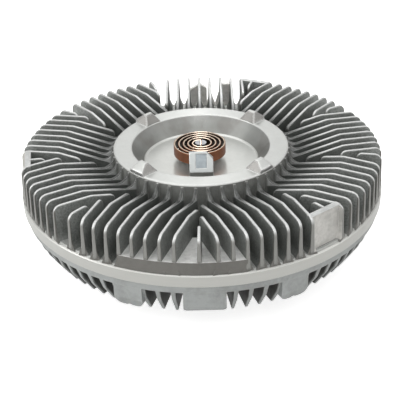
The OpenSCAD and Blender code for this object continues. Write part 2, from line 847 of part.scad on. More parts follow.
// Post on the bowl's floor: upright foot, leaning face, one upper corner cut off
module coil_post() {
    difference() {
        translate([-post_w / 2, 0, 0])
        rotate([90, 0, 90])
        linear_extrude(post_w)
        polygon([[-post_front, z_bowl - embed], [-post_front, z_bowl + post_foot_h],
            [-post_back - post_t, z_post], [-post_back, z_post], [-post_back, z_coil],
            [-post_back - 2, z_bowl - embed]]);
        translate([post_w / 2, 0, z_post])
        rotate([90, 0, 0])
        linear_extrude(post_front + past)
        polygon([[-post_bevel, 0], [-post_bevel, past], [past, past], [past, -post_bevel], [0, -post_bevel]]);
    }
}

// Pocket in the post's face, widened by gap and open by more out of the face
module keeper_pocket(gap, more) {
    on_post()
    translate([-keeper_w / 2 - gap, keeper_low - gap, -keeper_t])
    cube([keeper_w + 2 * gap, post_face - keeper_low - keeper_high + 2 * gap, keeper_t + more]);
}

module coil_keeper() {
    color(steel) keeper_pocket(0, -0.4);
}

input_shaft();
bearing_inner();
bearing_balls();
bearing_cage();
bearing_outer();
bearing_shields();
bearing_circlip();
rotor();
rotor_washer();
rotor_nut();
finned_body();
body_seal();
finned_cover();
cover_screws();
separator_plate();
plate_screws();
pump_wiper();
valve_bush();
valve_shaft();
valve_seal();
valve_clip();
valve_arm();
bimetal_coil();
coil_keeper();
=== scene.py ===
"""Looks of a viscous fan clutch: finishes, the wound coil, rounded fin edges, and a plain studio around it.

All lengths are in metres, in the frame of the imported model: +Z up along the turning axis, -Y towards the camera.
"""
import logging
import math
from dataclasses import dataclass, field
from enum import Enum

import bpy
import numpy as np
from mathutils import Matrix, Vector


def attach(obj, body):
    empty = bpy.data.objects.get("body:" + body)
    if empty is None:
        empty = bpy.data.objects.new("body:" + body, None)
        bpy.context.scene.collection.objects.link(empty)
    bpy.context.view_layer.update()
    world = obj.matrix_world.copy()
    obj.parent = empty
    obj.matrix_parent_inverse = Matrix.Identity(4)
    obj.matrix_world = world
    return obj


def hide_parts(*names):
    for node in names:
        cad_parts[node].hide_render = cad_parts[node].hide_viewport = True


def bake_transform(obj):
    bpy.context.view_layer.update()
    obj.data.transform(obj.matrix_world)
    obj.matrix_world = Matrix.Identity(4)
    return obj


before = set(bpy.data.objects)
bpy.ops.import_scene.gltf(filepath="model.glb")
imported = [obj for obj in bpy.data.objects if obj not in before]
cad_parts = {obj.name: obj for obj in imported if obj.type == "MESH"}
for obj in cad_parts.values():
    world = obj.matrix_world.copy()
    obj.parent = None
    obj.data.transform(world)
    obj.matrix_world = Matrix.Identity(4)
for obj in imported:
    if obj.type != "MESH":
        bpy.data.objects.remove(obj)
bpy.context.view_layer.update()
LOG = logging.getLogger("fan_clutch")
MM = 0.001

Socket = bpy.types.NodeSocket
Sockets = dict[str, Socket]
Value = float | tuple | Socket
Material = bpy.types.Material


class Body(Enum):
    """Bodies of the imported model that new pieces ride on."""

    HOUSING = "housing"
    VALVE = "valve"


class Cloud(Enum):
    """Noises: cells per metre, number of finer layers, and strength of the finer layers."""

    GRAIN = (900.0, 4.0, 0.5)
    WAVES = (140.0, 3.0, 0.55)
    STREAKS = (420.0, 3.0, 0.6)
    MOTTLE = (60.0, 4.0, 0.6)
    TOOL = (0.45, 2.0, 0.5)
    PATCHES = (45.0, 5.0, 0.65)
    SPECKS = (320.0, 3.0, 0.6)
    # Streaks of painted reflection on the bowl's wall.
    STAINS = (75.0, 3.0, 0.55)
    RUBBER = (2500.0, 3.0, 0.5)
    HEAT = (1.0, 3.0, 0.6)
    TARNISH = (260.0, 4.0, 0.6)
    ROLLED = (1800.0, 3.0, 0.5)


@dataclass(frozen=True)
class Castings:
    """Sizes of the two castings that zones and edges share, in metres and degrees."""

    hub_r: float = 61.4 * MM
    dish_r: float = 99.5 * MM
    dish_drop: float = 10.0 * MM
    face: float = 78.0 * MM
    floor: float = 54.0 * MM
    fin_r: float = 126.0 * MM
    draft: float = 0.8 * MM
    ledge_top: float = 61.8 * MM
    pads: int = 3
    pad_turn: float = 68.0
    boss_x: float = 8.65 * MM
    boss_half: float = 17.5 * MM
    rear_top_r: float = 124.9 * MM
    rear_part_r: float = 121.5 * MM
    rear_foot_r: float = 113.0 * MM
    rear_top: float = 39.9 * MM
    rear_part: float = 30.2 * MM
    rear_foot: float = 17.0 * MM


@dataclass(frozen=True)
class Zones:
    """Where a zone starts and where it is full: a radius (r), a height (z) or a distance, or a normal's Z (up)."""

    ring_r: tuple = (40.5 * MM, 42.5 * MM)
    hub_r: tuple = (61.3 * MM, 60.9 * MM)
    skirt_r: tuple = (64.6 * MM, 62.6 * MM)
    middle_r: tuple = (33.0 * MM, 31.0 * MM)
    basin_z: tuple = (70.0 * MM, 68.0 * MM)
    ear_z: tuple = (78.1 * MM, 78.6 * MM)
    post_z: tuple = (67.6 * MM, 68.2 * MM)
    steep_up: tuple = (0.06, -0.06)
    band_r: tuple = (125.4 * MM, 125.7 * MM)
    band_z: tuple = (53.2 * MM, 52.9 * MM)
    top_below: tuple = (0.7 * MM, 0.1 * MM)
    deep_below: tuple = (0.0, 20.0 * MM)
    out_r: tuple = (74.0 * MM, 106.0 * MM)
    side_past: tuple = (-1.0 * MM, -0.5 * MM)
    shelf_r: tuple = (97.0 * MM, 98.0 * MM)
    shelf_z: tuple = (57.0 * MM, 58.0 * MM)
    shelf_up: tuple = (0.7, 0.9)
    mouth_r: tuple = (106.0 * MM, 120.0 * MM)
    mouth_z: tuple = (57.5 * MM, 55.5 * MM)
    mouth_up: tuple = (0.2, 0.8)
    pad_out: tuple = (121.2 * MM, 121.8 * MM)
    pad_aside: tuple = (12.6 * MM, 12.0 * MM)
    boss_y: tuple = (117.5 * MM, 118.1 * MM)
    web_z: tuple = (54.2 * MM, 55.0 * MM)
    rear_past: tuple = (-1.6 * MM, -0.4 * MM)
    hollow_up: tuple = (-0.3, -0.8)
    bead_up: tuple = (0.15, 0.75)
    bead_in_r: tuple = (92.0 * MM, 69.0 * MM)


SIZES = Castings()
ZONES = Zones()


class Graph:
    """A node tree with short ways to add nodes and link them."""

    def __init__(self, tree: bpy.types.NodeTree) -> None:
        """Keep the tree that nodes are added to."""
        self.tree = tree

    def fill(self, node: bpy.types.Node, inputs: dict[str | int, Value]) -> None:
        """Set or link inputs of a node.

        Args:
            node: the node.
            inputs: socket name or index to a plain value (three numbers for a colour), or to a socket to link.
        """
        for name, value in inputs.items():
            socket = node.inputs[name]
            if isinstance(value, Socket):
                self.tree.links.new(value, socket)
            else:
                socket.default_value = (*value, 1.0) if socket.type == "RGBA" else value

    def add(self, kind: str, inputs: dict[str | int, Value] | None = None, **settings: object) -> bpy.types.Node:
        """Add a node.

        Args:
            kind: node type without its ShaderNode prefix.
            inputs: socket name or index to a plain value, or to a socket to link.
            settings: node properties.

        Returns:
            The new node.
        """
        node = self.tree.nodes.new("ShaderNode" + kind)
        for name, value in settings.items():
            setattr(node, name, value)
        self.fill(node, inputs or {})
        return node

    def math(self, operation: str, *values: Value, clamp: bool = False) -> Socket:
        """Work out one number by Blender's name of an operation, kept between 0 and 1 on request."""
        return self.add("Math", dict(enumerate(values)), operation=operation, use_clamp=clamp).outputs[0]

    def times(self, a: Value, b: Value) -> Socket:
        """Product of two numbers."""
        return self.math("MULTIPLY", a, b)

    def line(self, value: Value, slope: Value, start: Value) -> Socket:
        """Number on a straight line: a value times a slope, plus a start."""
        return self.math("MULTIPLY_ADD", value, slope, start)

    def mix(self, factor: Value, a: Value, b: Value) -> Socket:
        """Mix two colours; the factor is the second one's share."""
        return self.add("Mix", {0: factor, 6: a, 7: b}, data_type="RGBA").outputs[2]

    def mix_value(self, factor: Value, a: Value, b: Value) -> Socket:
        """Mix two numbers; the factor is the second one's share."""
        return self.add("Mix", {0: factor, 2: a, 3: b}, data_type="FLOAT").outputs[0]

    def step(self, value: Value, low: float, high: float) -> Socket:
        """Rise smoothly from 0 at low to 1 at high.

        Args:
            value: the number that is tested.
            low: where the rise starts; it may lie above high.
            high: where it ends.

        Returns:
            The mask's socket.
        """
        falls = low > high
        ends = {1: high, 2: low, 3: 1.0, 4: 0.0} if falls else {1: low, 2: high, 3: 0.0, 4: 1.0}
        return self.add("MapRange", {0: value, **ends}, interpolation_type="SMOOTHSTEP").outputs[0]

    def noise(self, vector: Value, cloud: Cloud) -> Socket:
        """Cloudy noise around 0.5, read at a vector."""
        inputs = dict(zip(("Scale", "Detail", "Roughness"), cloud.value))
        return self.add("TexNoise", {"Vector": vector, **inputs}).outputs["Fac"]

    def bump(self, height: Value, strength: float, distance: float, **under: Socket) -> Socket:
        """Normal raised by a height, starting from the Normal that is given or from the surface's own."""
        return self.add("Bump", {"Height": height, "Strength": strength, "Distance": distance, **under}).outputs[0]

    def point(self) -> Socket:
        """Place on the object."""
        return self.add("TexCoord").outputs["Object"]

    def normal(self) -> Socket:
        """Normal of the surface."""
        return self.add("NewGeometry").outputs["Normal"]

    def up(self) -> Socket:
        """How far the surface looks up: the Z of its normal."""
        return self.axes(self.normal())[2]

    def stretched(self, vector: Value, scale: tuple[float, float, float]) -> Socket:
        """Vector with each axis scaled."""
        return self.add("VectorMath", {0: vector, 1: scale}, operation="MULTIPLY").outputs[0]

    def on_line(self, value: Value) -> Socket:
        """Vector with a number as its X."""
        return self.add("CombineXYZ", {0: value}).outputs[0]

    def axes(self, vector: Value) -> tuple[Socket, ...]:
        """X, Y and Z of a vector."""
        return tuple(self.add("SeparateXYZ", {0: vector}).outputs)

    def polar(self, vector: Value) -> tuple[Socket, Socket]:
        """Distance of a point from the turning axis, and its height."""
        x, y, z = self.axes(vector)
        return self.math("SQRT", self.math("ADD", self.times(x, x), self.times(y, y))), z


@dataclass(frozen=True)
class Effect:
    """A shader node group that several finishes share; its sockets are numbers, or vectors by their names."""

    name: str
    inputs: tuple[str, ...]
    outputs: tuple[str, ...]
    vectors: tuple[str, ...] = ("Vector", "Normal")

    def start(self) -> tuple[Graph, Sockets, bpy.types.Node]:
        """Make the empty group.

        Returns:
            Its graph, its inputs by name, and its output node.
        """
        tree = bpy.data.node_groups.new(self.name, "ShaderNodeTree")
        for side, names in (("INPUT", self.inputs), ("OUTPUT", self.outputs)):
            for name in names:
                kind = "NodeSocketVector" if name in self.vectors else "NodeSocketFloat"
                tree.interface.new_socket(name, in_out=side, socket_type=kind)
        source = tree.nodes.new("NodeGroupInput")
        return Graph(tree), {s.name: s for s in source.outputs if s.name}, tree.nodes.new("NodeGroupOutput")

    def place(self, graph: Graph, **values: Value) -> Sockets:
        """Put the group into a tree with its own input values, and return its outputs by name."""
        node = graph.add("Group", values, node_tree=bpy.data.node_groups[self.name])
        return {s.name: s for s in node.outputs}


class Effects:
    """The shared effects: cast skin, turning marks, edges, zones of the castings, and grime."""

    CAST = Effect("cast_skin", ("Vector",), ("Height", "Grain", "Mottle", "Streaks"))
    TURNED = Effect("turning_marks", ("Vector", "Pitch"), ("Height", "Tone"))
    # Edge masks that lighten edges as wear and as a painted highlight, and a rounded normal.
    EDGE = Effect("worn_edges", ("Radius",), ("Edge", "Crest", "Normal"))
    FINS = Effect("fin_zones", ("Vector",), ("Top", "Depth", "Out", "Side", "Shelf", "Mouth", "Web"))
    HUB = Effect("hub_zones", ("Vector",), ("Hub", "Steep", "Ear", "Post", "Skirt", "Band"))
    REAR = Effect("rear_zones", ("Vector",), ("Rim",))
    GRIME = Effect("grime", ("Vector", "Amount"), ("Mask",))

    WAVE_SHARE = 0.6
    GRAIN_PEAKS = (0.36, 0.66)
    STREAK_STRETCH = (1.0, 1.0, 0.12)
    BEVEL_SAMPLES = 4
    EDGE_COSINE = (0.995, 0.88)
    CREST_COSINE = (0.945, 0.89)
    ROUND_COSINE = (0.998, 0.985)
    STEEP_LIMITS = (0.64, 0.25)
    SPECK_SHARE = 0.5
    AMOUNT_SHARE = 0.5
    PATCH_CONTRAST = 4.0

    @classmethod
    def build(cls) -> None:
        """Build every group once."""
        for make in (cls._cast, cls._turned, cls._edge, cls._fins, cls._hub, cls._rear, cls._grime):
            make()

    @classmethod
    def _cast(cls) -> None:
        """Skin of a die casting: fine grain, soft mottling, and streaks along the way the die opens."""
        graph, given, out = cls.CAST.start()
        point = given["Vector"]
        grain = graph.noise(point, Cloud.GRAIN)
        graph.fill(out, {
            "Height": graph.line(graph.noise(point, Cloud.WAVES), cls.WAVE_SHARE, grain),
            "Grain": graph.step(grain, *cls.GRAIN_PEAKS),
            "Mottle": graph.noise(point, Cloud.MOTTLE),
            "Streaks": graph.noise(graph.stretched(point, cls.STREAK_STRETCH), Cloud.STREAKS),
        })

    @classmethod
    def _turned(cls) -> None:
        """Marks of a lathe tool: a wave along radius plus height, so that it rings faces and barrels alike."""
        graph, given, out = cls.TURNED.start()
        along = graph.math("DIVIDE", graph.math("ADD", *graph.polar(given["Vector"])), given["Pitch"])
        uneven = graph.noise(graph.on_line(along), Cloud.TOOL)
        wave = graph.math("SINE", graph.times(along, math.tau))
        graph.fill(out, {"Height": graph.times(wave, uneven), "Tone": uneven})

    @classmethod
    def _edge(cls) -> None:
        """Edges rounded by handling: where the normal averaged over a radius turns away from the face's own. The
        Edge and Crest masks lighten edges as wear and as a painted highlight.
        """
        graph, given, out = cls.EDGE.start()
        rounded = graph.add("Bevel", {"Radius": given["Radius"]}, samples=cls.BEVEL_SAMPLES).outputs[0]
        own = graph.normal()
        same = graph.add("VectorMath", {0: rounded, 1: own}, operation="DOT_PRODUCT").outputs["Value"]
        share = graph.step(same, *cls.ROUND_COSINE)
        graph.fill(out, {
            "Edge": graph.step(same, *cls.EDGE_COSINE),
            "Crest": graph.step(same, *cls.CREST_COSINE),
            "Normal": graph.add("Mix", {0: share, 4: own, 5: rounded}, data_type="VECTOR").outputs[1],
        })

    @classmethod
    def _fins(cls) -> None:
        """Zones among the fins by radius and height: tops, depth, outer sides, floors, pads and bosses."""
        graph, given, out = cls.FINS.start()
        radius, height = graph.polar(given["Vector"])
        slope = SIZES.dish_drop / (SIZES.dish_r - SIZES.hub_r)
        dish = graph.line(radius, slope, SIZES.face - SIZES.dish_r * slope)
        below = graph.math("SUBTRACT", graph.math("MINIMUM", dish, SIZES.face), height)
        lean = SIZES.draft / (SIZES.face - SIZES.floor)
        past = graph.math("SUBTRACT", radius, SIZES.fin_r + SIZES.floor * lean)
        past = graph.line(height, lean, past)
        up = graph.up()
        raised = graph.times(graph.step(height, *ZONES.shelf_z), graph.step(radius, *ZONES.shelf_r))
        low = graph.times(graph.step(height, *ZONES.mouth_z), graph.step(radius, *ZONES.mouth_r))
        x, y, _ = graph.axes(given["Vector"])
        turn = graph.math("SUBTRACT", graph.math("ARCTAN2", y, x), math.radians(SIZES.pad_turn))
        turn = graph.math("WRAP", turn, math.pi / SIZES.pads, -math.pi / SIZES.pads)
        outward = graph.times(radius, graph.math("COSINE", turn))
        aside = graph.math("ABSOLUTE", graph.times(radius, graph.math("SINE", turn)))
        pad = graph.times(graph.step(outward, *ZONES.pad_out), graph.step(aside, *ZONES.pad_aside))
        near = graph.math("COMPARE", x, SIZES.boss_x, SIZES.boss_half)
        boss = graph.times(graph.step(y, *ZONES.boss_y), near)
        graph.fill(out, {
            "Top": graph.step(below, *ZONES.top_below),
            "Depth": graph.step(below, *ZONES.deep_below),
            "Out": graph.step(radius, *ZONES.out_r),
            "Side": graph.step(past, *ZONES.side_past),
            "Shelf": graph.times(raised, graph.step(up, *ZONES.shelf_up)),
            "Mouth": graph.times(low, graph.step(up, *ZONES.mouth_up)),
            "Web": graph.times(graph.math("MAXIMUM", pad, boss), graph.step(height, *ZONES.web_z)),
        })

    @classmethod
    def _hub(cls) -> None:
        """Zones of the hub: inside the ring, steep walls, ears, post, the wall outside, and the band at the rim."""
        graph, given, out = cls.HUB.start()
        radius, height = graph.polar(given["Vector"])
        inside = graph.step(radius, *ZONES.hub_r)
        middle = graph.step(radius, *ZONES.middle_r)
        over = graph.math("SUBTRACT", graph.up(), graph.mix_value(middle, *cls.STEEP_LIMITS))
        outside = graph.math("SUBTRACT", graph.step(radius, *ZONES.skirt_r), inside)
        graph.fill(out, {
            "Hub": inside,
            "Steep": graph.step(over, *ZONES.steep_up),
            "Ear": graph.step(height, *ZONES.ear_z),
            "Post": graph.times(middle, graph.step(height, *ZONES.post_z)),
            "Skirt": graph.math("MAXIMUM", outside, 0.0),
            "Band": graph.times(graph.step(radius, *ZONES.band_r), graph.step(height, *ZONES.band_z)),
        })

    @classmethod
    def _rear(cls) -> None:
        """Outer edges of the rear fins and lugs: by distance from the bent line of the fins' outer edge."""
        graph, given, out = cls.REAR.start()
        radius, height = graph.polar(given["Vector"])
        draft = (SIZES.rear_top_r - SIZES.rear_part_r) / (SIZES.rear_top - SIZES.rear_part)
        slant = (SIZES.rear_part_r - SIZES.rear_foot_r) / (SIZES.rear_part - SIZES.rear_foot)
        upper, lower = (graph.line(height, rise, SIZES.rear_part_r - SIZES.rear_part * rise)
                        for rise in (draft, slant))
        line = graph.math("MINIMUM", graph.math("MINIMUM", upper, lower), SIZES.rear_top_r)
        graph.fill(out, {"Rim": graph.step(graph.math("SUBTRACT", radius, line), *ZONES.rear_past)})

    @classmethod
    def _grime(cls) -> None:
        """Patches of dirt: two sizes of noise, cut off so that only their peaks show."""
        graph, given, out = cls.GRIME.start()
        patches, specks = (graph.noise(given["Vector"], cloud) for cloud in (Cloud.PATCHES, Cloud.SPECKS))
        both = graph.line(specks, cls.SPECK_SHARE, patches)
        limit = graph.math("SUBTRACT", 1.0, graph.times(given["Amount"], cls.AMOUNT_SHARE))
        cut = graph.math("SUBTRACT", both, limit)
        graph.fill(out, {"Mask": graph.math("MULTIPLY", cut, cls.PATCH_CONTRAST, clamp=True)})


class Paint(Graph):
    """Graph of a new material with one Principled shader."""

    def __init__(self, name: str) -> None:
        """Start the material.

        Args:
            name: its name.
        """
        self.material = bpy.data.materials.new(name)
        self.material.use_nodes = True
        super().__init__(self.material.node_tree)
        self.shader = self.tree.nodes["Principled BSDF"]

    def finish(self, colour: Value, rough: Value, metal: Value, normal: Socket) -> Material:
        """Feed the shader, and return the material."""
        self.fill(self.shader, {"Base Color": colour, "Roughness": rough, "Metallic": metal, "Normal": normal})
        return self.material


@dataclass(frozen=True)
class CastCover:
    """Die-cast aluminium of the finned cover: bright edges and hub, dull flanks, a turned band. Flanks, channels,
    walls and outer faces carry painted shade, ledge tops and the bowl floor painted light, edges a painted highlight
    beside wear.

    The pairs from edge_r to depth hold the value among the fins, then the one on hub and band. Reliefs hold the
    strength and the height of a bump.
    """

    edge: tuple = (0.64, 0.65, 0.64)
    hub: tuple = (0.56, 0.57, 0.55)
    # Bowl floor: painted lighter to make up for the shade in the bowl.
    basin_painted_light: tuple = (0.58, 0.59, 0.565)
    # Steep walls of the bowl: painted shade, darker than the flat ring.
    steep: tuple = (0.18, 0.185, 0.175)
    # Darker streaks on the steep walls: painted reflection of the surroundings.
    streaked_reflection_tone: tuple = (0.135, 0.13, 0.12)
    # Steep sides of the ears above the ring: painted shade.
    ear: tuple = (0.20, 0.195, 0.185)
    post: tuple = (0.46, 0.48, 0.475)
    # Hub's outer wall between the fin roots: painted shade.
    skirt: tuple = (0.29, 0.295, 0.28)
    # Fin flanks: painted shade between facing fins, with a green-grey tint.
    flank_shade: tuple = (0.36, 0.375, 0.36)
    # Painted shade: darker towards the hub and deeper in the channels.
    inward_shade: tuple = (0.16, 0.172, 0.163)
    deep_channel_shade: tuple = (0.21, 0.22, 0.208)
    pit: tuple = (0.09, 0.095, 0.09)
    side: tuple = (0.40, 0.40, 0.38)
    # Outer upright faces past the fins, such as the ledge wall: painted shade, with a warm tint.
    outer_face_shade: tuple = (0.17, 0.165, 0.152)
    web: tuple = (0.60, 0.59, 0.56)
    # Ledge tops between the fins: painted light, lighter than the casting to make up for the shade between the fins.
    shelf: tuple = (0.90, 0.90, 0.88)
    mouth: tuple = (0.50, 0.51, 0.49)
    band: tuple = (0.50, 0.50, 0.475)
    # Colour of worn edges, also a painted highlight where rounded edges catch the light.
    worn: tuple = (0.90, 0.90, 0.88)
    soot: tuple = (0.10, 0.10, 0.09)
    edge_r: tuple = (0.5 * MM, 1.2 * MM)
    dirt: tuple = (0.30, 0.08)
    rough: tuple = (0.38, 0.24)
    metal: tuple = (0.35, 0.65)
    depth: tuple = (0.5 * MM, 0.01 * MM)
    ring_edge_r: float = 2.8 * MM
    cast_relief: tuple = (0.6, 1.0)
    turned_relief: tuple = (0.3, 0.1 * MM)
    pitch: float = 0.6 * MM
    marks: float = 0.3
    grime: float = 0.75
    wear_and_highlight_share: float = 0.5
    uneven: float = 0.2
    # Thresholds of the streaks of painted reflection on the walls.
    stains: tuple = (0.42, 0.68)
    reflection_streak_stretch: tuple = (1.0, 1.0, 0.1)
    streaks: tuple = (0.4, 0.75)
    streak_share: float = 0.6
    pits: float = 0.45

    def material(self) -> Material:
        """Build the finish on object coordinates, with its zones from radius and height.

        Returns:
            The material.
        """
        graph = Paint("cast_cover")
        point = graph.point()
        skin, hub, fins = (effect.place(graph, Vector=point) for effect in (Effects.CAST, Effects.HUB, Effects.FINS))
        turned = Effects.TURNED.place(graph, Vector=point, Pitch=self.pitch)
        grime = Effects.GRIME.place(graph, Vector=point, Amount=self.grime)
        radius, _ = graph.polar(point)
        ring = graph.times(hub["Hub"], graph.step(radius, *ZONES.ring_r))
        sharp = graph.mix_value(hub["Hub"], *self.edge_r)
        edge = Effects.EDGE.place(graph, Radius=graph.mix_value(ring, sharp, self.ring_edge_r))
        among = self._fin_colour(graph, fins, skin, hub)
        colour = graph.mix(hub["Hub"], among, self._hub_colour(graph, point, hub))
        dirt = graph.times(grime["Mask"], graph.mix_value(hub["Hub"], *self.dirt))
        colour = graph.mix(dirt, colour, self.soot)
        band = graph.mix(graph.times(turned["Tone"], self.marks), self.band, self.side)
        colour = graph.mix(hub["Band"], colour, band)
        # Edges lightened partly as wear and partly as a painted highlight.
        wear_and_highlight_share = graph.times(graph.mix_value(ring, edge["Edge"], edge["Crest"]), self.wear_and_highlight_share)
        plain = graph.math("SUBTRACT", fins["Side"], hub["Band"], clamp=True)
        satin = graph.math("MAXIMUM", hub["Band"], hub["Hub"])
        height = graph.times(skin["Height"], graph.mix_value(satin, *self.depth))
        cast = graph.bump(height, *self.cast_relief, Normal=edge["Normal"])
        lines = graph.times(turned["Height"], hub["Band"])
        rough = graph.mix_value(satin, *self.rough)
        return graph.finish(
            graph.mix(graph.mix_value(plain, wear_and_highlight_share, 0.0), colour, self.worn),
            graph.line(skin["Mottle"], self.uneven, rough),
            graph.mix_value(satin, *self.metal),
            graph.bump(lines, *self.turned_relief, Normal=cast))

    def _hub_colour(self, graph: Graph, point: Socket, hub: Sockets) -> Socket:
        """Colour of ring, bowl, ears and post, with painted shade on steep walls and ear sides, streaks of painted
        reflection on the walls, and the bowl floor painted lighter against its shade.

        Args:
            graph: the material's graph.
            point: the point's place.
            hub: outputs of the hub zones.

        Returns:
            The colour's socket.
        """
        # Streaks of painted reflection on the steep walls.
        stains = graph.noise(graph.stretched(point, self.reflection_streak_stretch), Cloud.STAINS)
        wall = graph.mix(graph.step(stains, *self.stains), self.steep, self.streaked_reflection_tone)
        # Ear sides take painted shade.
        wall = graph.mix(hub["Ear"], wall, self.ear)
        # Bowl floor painted lighter against the shade in the bowl.
        flat = graph.mix(graph.step(graph.axes(point)[2], *ZONES.basin_z), self.hub, self.basin_painted_light)
        flat = graph.mix(hub["Post"], flat, self.post)
        # Steep faces take the painted shade of the walls.
        return graph.mix(hub["Steep"], flat, wall)

    def _fin_colour(self, graph: Graph, fins: Sockets, skin: Sockets, hub: Sockets) -> Socket:
        """Colour among the fins, with painted shade on the flanks, deep in the channels, towards the hub, on outer
        upright faces and on the hub's outer wall, and painted light on ledge tops.

        Args:
            graph: the material's graph.
            fins: outputs of the fin zones.
            skin: outputs of the cast skin.
            hub: outputs of the hub zones.

        Returns:
            The colour's socket.
        """
        streaks = graph.times(graph.step(skin["Streaks"], *self.streaks), self.streak_share)
        # Flanks get darker with depth: painted shade in the channels.
        colour = graph.mix(fins["Depth"], self.flank_shade, self.deep_channel_shade)
        colour = graph.mix(streaks, colour, self.flank_shade)
        # Darker towards the hub: painted shade.
        colour = graph.mix(fins["Out"], self.inward_shade, colour)
        colour = graph.mix(graph.times(skin["Grain"], self.pits), colour, self.pit)
        # Side takes painted shade and Shelf painted light.
        for zone, over in (("Side", self.outer_face_shade), ("Mouth", self.mouth), ("Web", self.web), ("Shelf", self.shelf),
                           ("Top", self.edge)):
            colour = graph.mix(fins[zone], colour, over)
        # Hub's outer wall takes painted shade.
        return graph.mix(hub["Skirt"], colour, self.skirt)


@dataclass(frozen=True)
class FinBead:
    """Rounded edge of a fin: painted highlight where it looks up, painted shade where it looks outwards and towards
    the hub.
    """

    # Lit and shaded tones of one bead: painted highlight on top, painted shade at the sides and towards the hub.
    top: tuple = (0.65, 0.66, 0.65)
    side: tuple = (0.26, 0.26, 0.245)
    inward_shade: tuple = (0.06, 0.063, 0.06)
    pit: tuple = (0.24, 0.24, 0.23)
    pits: float = 0.25
    rough: float = 0.3
    uneven: float = 0.2
    metal: float = 0.5
    relief: tuple = (0.2, 0.3 * MM)

    def material(self) -> Material:
        """Build the finish by the way the surface faces and by radius, with cast grain.

        Returns:
            The material.
        """
        graph = Paint("fin_bead")
        point = graph.point()
        skin = Effects.CAST.place(graph, Vector=point)
        radius, _ = graph.polar(point)
        # Painted highlight on the up-facing crest, painted shade on the sides and towards the hub.
        colour = graph.mix(graph.step(graph.up(), *ZONES.bead_up), self.side, self.top)
        colour = graph.mix(graph.step(radius, *ZONES.bead_in_r), colour, self.inward_shade)
        colour = graph.mix(graph.times(skin["Grain"], self.pits), colour, self.pit)
        rough = graph.line(skin["Mottle"], self.uneven, self.rough)
        return graph.finish(colour, rough, self.metal, graph.bump(skin["Height"], *self.relief))


@dataclass(frozen=True)
class CastBody:
    """Die-cast aluminium of rear body and rotor: grey edges and lugs, hollows in painted shade."""

    name: str = "cast_body"
    face: tuple = (0.385, 0.40, 0.395)
    # Painted shade for the hollows behind the rim.
    hollow_shade: tuple = (0.06, 0.06, 0.057)
    # Worn edges, also a painted highlight.
    worn: tuple = (0.60, 0.60, 0.58)
    soot: tuple = (0.12, 0.12, 0.11)
    edge_r: float = 0.6 * MM
    grime: float = 0.7
    dirt: float = 0.3
    streaks: tuple = (0.35, 0.8)
    under: float = 0.55
    wear_and_highlight_share: float = 0.5
    rough: float = 0.42
    uneven: float = 0.2
    metal: float = 0.4
    relief: tuple = (0.3, 0.3 * MM)

    def material(self) -> Material:
        """Build the finish: grey at the rim, painted shade in the hollows, edges lightened as wear and painted
        highlight, dirt in patches, cast grain.

        Returns:
            The material.
        """
        graph = Paint(self.name)
        point = graph.point()
        skin, rear = (effect.place(graph, Vector=point) for effect in (Effects.CAST, Effects.REAR))
        edge = Effects.EDGE.place(graph, Radius=self.edge_r)
        grime = Effects.GRIME.place(graph, Vector=point, Amount=self.grime)
        # Painted shade in the hollows with streaks of soot; faces that look down are mixed back towards the grey.
        shaded_hollow = graph.mix(graph.step(skin["Streaks"], *self.streaks), self.hollow_shade, self.soot)
        under = graph.times(graph.step(graph.up(), *ZONES.hollow_up), self.under)
        colour = graph.mix(rear["Rim"], graph.mix(under, shaded_hollow, self.face), self.face)
        colour = graph.mix(graph.times(grime["Mask"], self.dirt), colour, self.soot)
        # Rim edges lightened as wear and as a painted highlight.
        worn = graph.times(graph.times(edge["Edge"], rear["Rim"]), self.wear_and_highlight_share)
        rough = graph.line(skin["Mottle"], self.uneven, self.rough)
        normal = graph.bump(skin["Height"], *self.relief, Normal=edge["Normal"])
        return graph.finish(graph.mix(worn, colour, self.worn), rough, self.metal, normal)


@dataclass(frozen=True)
class TurnedMetal:
    """Turned or ground metal: tool marks, slight stains."""

    name: str
    colour: tuple
    stain: tuple
    rough: float = 0.3
    metal: float = 1.0
    pitch: float = 0.5 * MM
    grime: float = 0.8
    marks: float = 0.25
    stains: float = 0.5
    uneven: float = 0.2
    relief: tuple = (0.2, 0.1 * MM)

    def material(self) -> Material:
        """Build the finish: tool marks as bump and tone, stains as colour and roughness.

        Returns:
            The material.
        """
        graph = Paint(self.name)
        point = graph.point()
        marks = Effects.TURNED.place(graph, Vector=point, Pitch=self.pitch)
        mask = Effects.GRIME.place(graph, Vector=point, Amount=self.grime)["Mask"]
        share = graph.line(marks["Tone"], self.marks, graph.times(mask, self.stains))
        colour = graph.mix(share, self.colour, self.stain)
        rough = graph.line(mask, self.uneven, self.rough)
        return graph.finish(colour, rough, self.metal, graph.bump(marks["Height"], *self.relief))


@dataclass(frozen=True)
class SealRubber:
    """Black seal rubber with a bloom of dust."""

    black: tuple = (0.012, 0.012, 0.012)
    bloom: tuple = (0.09, 0.09, 0.085)
    grime: float = 0.9
    rough: float = 0.5
    uneven: float = 0.2
    relief: tuple = (0.2, 0.1 * MM)

    def material(self) -> Material:
        """Build the finish: black with dusty patches and a fine skin.

        Returns:
            The material.
        """
        graph = Paint("seal_rubber")
        point = graph.point()
        mask = Effects.GRIME.place(graph, Vector=point, Amount=self.grime)["Mask"]
        colour = graph.mix(mask, self.black, self.bloom)
        rough = graph.line(mask, self.uneven, self.rough)
        return graph.finish(colour, rough, 0.0, graph.bump(graph.noise(point, Cloud.RUBBER), *self.relief))


